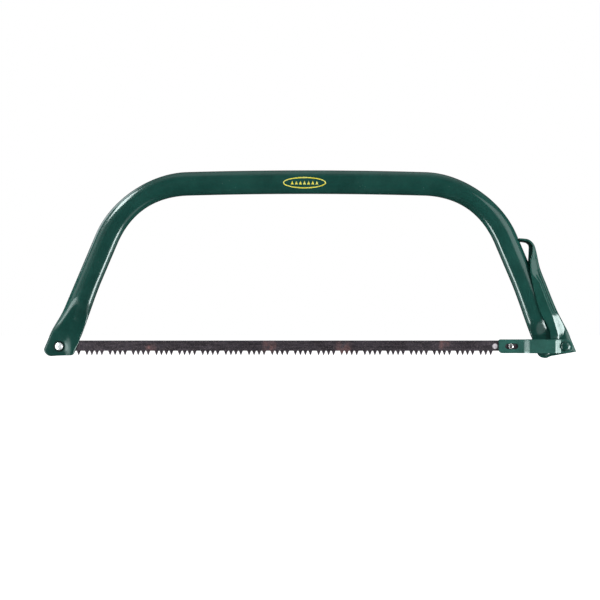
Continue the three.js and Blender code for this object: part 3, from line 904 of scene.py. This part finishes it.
class Nodes:
    """A short way to build a node tree."""

    def __init__(self, name):
        self.material = bpy.data.materials.new(name)
        self.material.use_nodes = True
        self.tree = self.material.node_tree
        self.shader = self.tree.nodes["Principled BSDF"]
        self.place = self.add("ShaderNodeTexCoord").outputs["Object"]

    def add(self, kind, **settings):
        node = self.tree.nodes.new(kind)
        for key, value in settings.items():
            setattr(node, key, value)
        return node

    def link(self, source, target):
        self.tree.links.new(source, target)

    def stretched(self, scale):
        """The object's coordinates, scaled by axis."""
        node = self.add("ShaderNodeMapping")
        self.link(self.place, node.inputs["Vector"])
        node.inputs["Scale"].default_value = scale
        return node.outputs["Vector"]

    def noise(self, scale, detail=3.0, rough=0.55, stretch=(1, 1, 1), distortion=0.0):
        node = self.add("ShaderNodeTexNoise")
        self.link(self.stretched(stretch), node.inputs["Vector"])
        fill(node, {"Scale": scale, "Detail": detail, "Roughness": rough, "Distortion": distortion})
        return node.outputs["Fac"]

    def spots(self, scale, size):
        """1 in small scattered spots, else 0."""
        node = self.add("ShaderNodeTexVoronoi")
        self.link(self.place, node.inputs["Vector"])
        node.inputs["Scale"].default_value = scale
        return self.remap(node.outputs["Distance"], size, size * 0.4, 0, 1)

    def remap(self, value, low, high, to_low=0.0, to_high=1.0):
        node = self.add("ShaderNodeMapRange", interpolation_type="SMOOTHSTEP")
        self.link(value, node.inputs["Value"])
        fill(node, {"From Min": low, "From Max": high, "To Min": to_low, "To Max": to_high})
        return node.outputs["Result"]

    def math(self, operation, a, b):
        node = self.add("ShaderNodeMath", operation=operation)
        for socket, value in zip(node.inputs, (a, b)):
            if isinstance(value, (int, float)):
                socket.default_value = value
            else:
                self.link(value, socket)
        return node.outputs["Value"]

    def blend(self, factor, low, high):
        """A colour between two, each a colour or a socket."""
        node = self.add("ShaderNodeMix", data_type="RGBA", blend_type="MIX")
        colour_sockets = [s for s in node.inputs if s.type == "RGBA"]
        self.link(factor, node.inputs[0])
        for socket, value in zip(colour_sockets, (low, high)):
            if isinstance(value, tuple):
                socket.default_value = (*value, 1)
            else:
                self.link(value, socket)
        return next(s for s in node.outputs if s.type == "RGBA")

    def worn_edges(self, low, high):
        """1 on convex edges, broken up by noise."""
        edge = self.add("ShaderNodeNewGeometry").outputs["Pointiness"]
        broken = self.math("MULTIPLY", self.noise(420, 4, 0.7), 0.10)
        return self.remap(self.math("ADD", edge, broken), low + 0.05, high + 0.05)

    def bumped(self, *layers):
        """Bump from (height, strength, distance in metres) layers, one over the other."""
        normal = None
        for height, strength, distance in layers:
            node = self.add("ShaderNodeBump")
            fill(node, {"Strength": strength, "Distance": distance})
            self.link(height, node.inputs["Height"])
            if normal is not None:
                self.link(normal, node.inputs["Normal"])
            normal = node.outputs["Normal"]
        self.link(normal, self.shader.inputs["Normal"])

    def near_axis(self, place, inner, outer):
        """1 within a radius of a line along y through a side view place, falling to 0."""
        x, z = (place[0] + BOW_MIDDLE_X) * MM, place[1] * MM
        apart = self.add("ShaderNodeSeparateXYZ")
        self.link(self.place, apart.inputs["Vector"])
        dx = self.math("SUBTRACT", apart.outputs["X"], x)
        dz = self.math("SUBTRACT", apart.outputs["Z"], z)
        square = self.math("ADD", self.math("MULTIPLY", dx, dx), self.math("MULTIPLY", dz, dz))
        away = self.math("POWER", square, 0.5)
        return self.remap(away, inner * MM, outer * MM, 1.0, 0.0)


def enamel(name, colour, roughness=(0.12, 0.22), scuffs=1.0, painted_shade_at=()):
    """Glossy stoved enamel: soft colour drift, orange peel, fine scuffs, thin paint at edges, and rings
    of painted shade round given axes.
    """
    n = Nodes(name)
    deep = tuple(c * 0.80 for c in colour)
    light = tuple(min(c * 1.22 + 0.002, 1) for c in colour)
    drift = n.noise(16, 4, 0.6)
    base = n.blend(n.remap(drift, 0.3, 0.7), deep, light)
    mottle = n.noise(260, 3, 0.6)
    base = n.blend(n.remap(mottle, 0.35, 0.75, 0.0, 0.22), base, tuple(c * 1.5 for c in colour))
    specks = n.math("MULTIPLY", n.spots(170, 0.10), n.remap(n.noise(38, 2), 0.52, 0.66))
    base = n.blend(n.math("MULTIPLY", specks, 0.5 * scuffs), base, (0.16, 0.24, 0.22))
    scratch = n.remap(n.noise(55, 2, 0.5, (9, 9, 1), 0.8), 0.70, 0.76)
    rub = n.remap(n.noise(11, 3, 0.6), 0.55, 0.72)
    scratch = n.math("MULTIPLY", scratch, rub)
    base = n.blend(n.math("MULTIPLY", scratch, 0.30 * scuffs), base, (0.14, 0.26, 0.23))
    # Painted shade: a dark ring round each given axis, standing for the shade in the recess round a screw
    # head.
    for place, inner, outer, amount in painted_shade_at:
        ring = n.math("MULTIPLY", n.near_axis(place, inner, outer), amount)
        base = n.blend(ring, base, (0.004, 0.010, 0.009))
    worn = n.worn_edges(0.66, 0.86)
    base = n.blend(n.math("MULTIPLY", worn, 0.5), base, (0.16, 0.26, 0.24))
    n.link(base, n.shader.inputs["Base Color"])
    rough = n.remap(n.noise(30, 4, 0.65), 0.3, 0.7, *roughness)
    rough = n.math("ADD", rough, n.math("MULTIPLY", scratch, 0.15))
    n.link(rough, n.shader.inputs["Roughness"])
    fill(n.shader, {"Specular IOR Level": 0.5, "Specular Tint": (0.84, 1.0, 0.98, 1)})
    fill(n.shader, {"Coat Weight": 0.2, "Coat Roughness": 0.06})
    peel = n.noise(620, 2, 0.5)
    waves = n.noise(120, 2, 0.5)
    n.bumped((waves, 0.012, 0.0006), (peel, 0.005, 0.0003), (scratch, 0.03, 0.0001))
    return n.material


# Each is x, height above the blade's line, and the radii where the rust begins to fade and ends.
RUST_AT = [(-49, 1, 4, 12), (49, 0, 3, 14), (-205, -2, 2, 9), (182, 2, 2, 10)]


BARE_SPOT = (249.4, BLADE_LINE_Z + 0.1)


def blade_steel():
    """Dark oiled carbon steel: rolled grain along the blade, speckled scale, faint rust."""
    n = Nodes("blade_steel")
    grain = n.noise(90, 5, 0.7, (0.35, 1, 3.5))
    base = n.blend(n.remap(grain, 0.3, 0.7), (0.015, 0.0125, 0.017), (0.043, 0.036, 0.047))
    speck = n.noise(700, 3, 0.75)
    base = n.blend(n.remap(speck, 0.45, 0.75, 0.0, 0.7), base, (0.14, 0.113, 0.122))
    cloud = n.remap(n.noise(60, 4, 0.6), 0.36, 0.62)
    patches = [n.near_axis((x, BLADE_LINE_Z + z), inner, outer) for x, z, inner, outer in RUST_AT]
    rust = patches[0]
    for patch in patches[1:]:
        rust = n.math("MAXIMUM", rust, patch)
    rust = n.math("MULTIPLY", rust, cloud)
    rust_grain = n.math("MULTIPLY", rust, n.remap(n.noise(160, 4, 0.7), 0.3, 0.7, 0.3, 1.0))
    base = n.blend(n.math("MULTIPLY", rust_grain, 0.75), base, (0.25, 0.115, 0.105))
    bare = n.near_axis(BARE_SPOT, 3.1, 3.8)
    base = n.blend(bare, base, (0.62, 0.58, 0.62))
    apart = n.add("ShaderNodeSeparateXYZ")
    n.link(n.place, apart.inputs["Vector"])
    ground = n.remap(apart.outputs["Z"], 6.2 * MM, 4.2 * MM)
    base = n.blend(n.math("MULTIPLY", ground, 0.35), base, (0.22, 0.21, 0.21))
    edge = n.remap(apart.outputs["Z"], 22.3 * MM, 23.0 * MM)
    base = n.blend(n.math("MULTIPLY", edge, 0.7), base, (0.020, 0.018, 0.019))
    n.link(base, n.shader.inputs["Base Color"])
    fill(n.shader, {"Metallic": 0.55})
    rough = n.remap(grain, 0.3, 0.7, 0.42, 0.60)
    n.link(n.math("ADD", rough, n.math("MULTIPLY", rust_grain, 0.2)), n.shader.inputs["Roughness"])
    n.bumped((grain, 0.12, 0.0002), (speck, 0.15, 0.0001))
    return n.material


def bright_steel(name, colour, roughness, metallic=1.0):
    """Plated or bare bright steel with fine marks, dull patches and bright worn edges."""
    n = Nodes(name)
    dull = n.noise(300, 4, 0.65)
    base = n.blend(n.remap(dull, 0.35, 0.75), colour, tuple(c * 0.72 for c in colour))
    worn = n.worn_edges(0.55, 0.70)
    base = n.blend(n.math("MULTIPLY", worn, 0.6), base, (0.85, 0.86, 0.87))
    n.link(base, n.shader.inputs["Base Color"])
    fill(n.shader, {"Metallic": metallic})
    marks = n.noise(900, 3, 0.6)
    n.link(n.remap(marks, 0.3, 0.7, roughness, roughness + 0.18), n.shader.inputs["Roughness"])
    n.bumped((marks, 0.10, 0.0001), (dull, 0.06, 0.0002))
    return n.material


def mark_yellow():
    """Printed yellow, a little thin and uneven over the enamel."""
    n = Nodes("mark_yellow")
    ink = n.noise(240, 4, 0.65)
    base = n.blend(n.remap(ink, 0.35, 0.7), (0.86, 0.74, 0.03), (0.78, 0.80, 0.20))
    thin = n.remap(n.noise(900, 3, 0.7), 0.62, 0.74, 0.0, 0.35)
    base = n.blend(thin, base, (0.20, 0.32, 0.10))
    n.link(base, n.shader.inputs["Base Color"])
    n.link(n.remap(ink, 0.3, 0.7, 0.28, 0.42), n.shader.inputs["Roughness"])
    n.bumped((ink, 0.08, 0.0001))
    return n.material


def paint(material, *pieces):
    for piece in pieces:
        piece.data.materials.clear()
        piece.data.materials.append(material)


# -------------------- the saw


def build_saw():
    green = (0.007, 0.056, 0.045)
    # Painted shade: a dark ring round the toe screw's head, for the shade in its recess.
    shade_round_screw = [(TOE_SCREW, 6.4, 8.2, 0.85)]
    paint(enamel("frame_enamel", green, painted_shade_at=shade_round_screw), frame_tube())
    paint(enamel("lever_enamel", (0.008, 0.064, 0.050)), tension_lever())
    front = link_plate(-1, "link_strip_front", "link_plate_front")
    back = link_plate(1, "link_strip_back", "link_plate_back")
    paint(enamel("link_enamel", (0.027, 0.112, 0.092), (0.16, 0.28), scuffs=1.6), front, back)
    head = enamel("rivet_enamel", (0.007, 0.058, 0.046), (0.14, 0.24))
    paint(head, rivet("fulcrum_rivet_head", FULCRUM, 7.4, 4.4, 2.1, "frame", "fulcrum_rivet"))
    paint(head, rivet("link_rivet_head", LINK_RIVET, 6.7, 4.5, 3.1, "lever", "link_rivet"))
    paint(blade_steel(), blade())
    zinc = bright_steel("zinc_steel", (0.74, 0.78, 0.79), 0.40, metallic=0.75)
    paint(zinc, toe_screw(), toe_washer(), toe_nut())
    paint(bright_steel("pin_steel", (0.72, 0.72, 0.72), 0.18), blade_pin())
    paint(mark_yellow(), *printed_mark())


# -------------------- studio


def aim(thing, target):
    thing.rotation_euler = (Vector(target) - thing.location).to_track_quat("-Z", "Y").to_euler()


def softbox(name, place, target, wide, high, radiance, gives, roll=0, tint=(1, 1, 1)):
    """A soft light of even brightness. radiance is what a mirror of it would show.

    gives is "highlight", "colour" (it lights the paint and leaves no highlight) or "both"."""
    light = bpy.data.lights.new(name, "AREA")
    light.shape = "RECTANGLE"
    light.size, light.size_y = wide, high
    light.energy = radiance * wide * high * pi
    light.color = tint
    thing = placed(name, light)
    thing.location = place
    aim(thing, target)
    thing.rotation_euler.rotate_axis("Z", radians(roll))
    thing.visible_camera = False
    thing.visible_glossy = gives != "colour"
    thing.visible_diffuse = gives != "highlight"


def white_surroundings():
    """White to the camera, and a soft grey room with a bright ceiling to everything else."""
    world = bpy.data.worlds.new("studio")
    bpy.context.scene.world = world
    world.use_nodes = True
    tree = world.node_tree
    tree.nodes.clear()
    add, link = tree.nodes.new, tree.links.new
    output = add("ShaderNodeOutputWorld")
    seen, room = add("ShaderNodeBackground"), add("ShaderNodeBackground")
    fill(seen, {"Color": (1, 1, 1, 1)})
    way = add("ShaderNodeTexCoord")
    split = add("ShaderNodeSeparateXYZ")
    link(way.outputs["Generated"], split.inputs["Vector"])
    ramp = add("ShaderNodeMapRange")
    ramp.interpolation_type = "SMOOTHSTEP"
    link(split.outputs["Z"], ramp.inputs["Value"])
    fill(ramp, {"From Min": 0.55, "From Max": 1.0, "To Min": 0.08, "To Max": 0.6})
    link(ramp.outputs["Result"], room.inputs["Strength"])
    ray = add("ShaderNodeLightPath")
    pick = add("ShaderNodeMixShader")
    link(ray.outputs["Is Camera Ray"], pick.inputs[0])
    link(room.outputs[0], pick.inputs[1])
    link(seen.outputs[0], pick.inputs[2])
    link(pick.outputs[0], output.inputs["Surface"])


def floor():
    """A plain white floor, low enough to stay clear of the lever when it is open.

    It gives off enough white that no shadow shows on it, and the saw doesn't reflect it."""
    half, low = 4.0, -0.06
    mesh = bpy.data.meshes.new("floor")
    corners = [(-half, -half, low), (half, -half, low), (half, half, low), (-half, half, low)]
    mesh.from_pydata(corners, [], [(0, 1, 2, 3)])
    table = placed("floor", mesh)
    material = bpy.data.materials.new("floor_white")
    material.use_nodes = True
    shader = material.node_tree.nodes["Principled BSDF"]
    fill(shader, {"Base Color": (0.8, 0.8, 0.8, 1), "Roughness": 0.9, "Specular IOR Level": 0.1})
    fill(shader, {"Emission Color": (1, 1, 1, 1), "Emission Strength": 1.0})
    mesh.materials.append(material)
    table.visible_glossy = False
    table.visible_shadow = False
    table.visible_diffuse = False


MIDDLE, TOE, LINK, UPPER_LEFT = (0, 0, 0.12), (-0.33, 0, 0.05), (0.34, 0, 0.02), (-0.24, 0, 0.19)
COOL = (0.94, 0.96, 1.0)
# Name, place, target, width, height, radiance, what it gives, and for some a roll and a tint.
SOFTBOXES = [
    ("right_box", (1.45, -0.85, -0.42), MIDDLE, 0.60, 1.0, 17, "highlight"),
    ("right_upper_box", (1.24, -1.05, 0.62), MIDDLE, 1.02, 0.9, 2.1, "highlight"),
    ("left_box", (-1.35, -0.85, -0.60), MIDDLE, 0.55, 0.9, 13, "highlight"),
    ("left_upper_box", (-1.45, -0.70, 0.62), MIDDLE, 0.7, 0.8, 1.2, "highlight"),
    ("left_front_box", (-1.05, -1.27, 0.44), MIDDLE, 0.7, 0.6, 0.3, "highlight"),
    ("upper_left_box", (-1.11, -0.56, 1.06), UPPER_LEFT, 0.31, 0.80, 20, "highlight", 45),
    ("toe_card", (-0.71, -0.47, -0.06), TOE, 0.28, 0.34, 5, "highlight"),
    ("toe_dim_card", (-0.574, -0.548, -0.06), TOE, 0.14, 0.34, 1.8, "highlight"),
    ("link_card", (1.10, -0.235, 0.0), LINK, 0.22, 0.36, 11, "highlight"),
    ("low_left_card", (-0.85, -0.70, -0.85), MIDDLE, 0.9, 0.8, 1.2, "colour"),
    ("low_right_card", (0.80, -0.70, -0.95), MIDDLE, 0.8, 0.7, 0.9, "both"),
    ("left_low_wall", (-1.5, 0.15, -0.45), MIDDLE, 1.2, 0.7, 0.9, "both"),
    ("right_low_wall", (1.5, 0.15, -0.45), MIDDLE, 1.2, 0.7, 0.9, "both"),
    ("ceiling_box", (0.1, -0.1, 2.0), MIDDLE, 2.2, 1.0, 0.35, "both"),
    ("back_left_box", (-1.3, 0.5, 1.0), MIDDLE, 0.9, 0.9, 3.4, "highlight", 0, COOL),
    ("left_glow", (-1.6, -0.25, 0.5), MIDDLE, 1.2, 1.2, 6, "colour"),
    ("right_glow", (1.5, -0.75, 0.45), MIDDLE, 1.2, 1.4, 5, "colour"),
    ("low_glow", (0, -1.0, -1.2), MIDDLE, 1.6, 0.8, 1.6, "colour"),
    ("front_glow", (0, -2.2, 0.6), MIDDLE, 1.2, 1.2, 1.9, "colour"),
]


def studio():
    white_surroundings()
    floor()
    for settings in SOFTBOXES:
        softbox(*settings)
    scene = bpy.context.scene
    scene.view_settings.view_transform = "Standard"
    scene.view_settings.look = "None"


def camera():
    """Level with the saw and square to its front, from a couple of metres."""
    away, field = 2.2, 0.792
    sensor = 36.0
    data = bpy.data.cameras.new("camera")
    data.sensor_width = sensor
    data.lens = sensor * away / field
    thing = placed("camera", data)
    target = Vector((-0.01345, 0, 0.07656))
    thing.location = target + Vector((0, -away, 0))
    aim(thing, target)
    bpy.context.scene.camera = thing


camera()
studio()
build_saw()
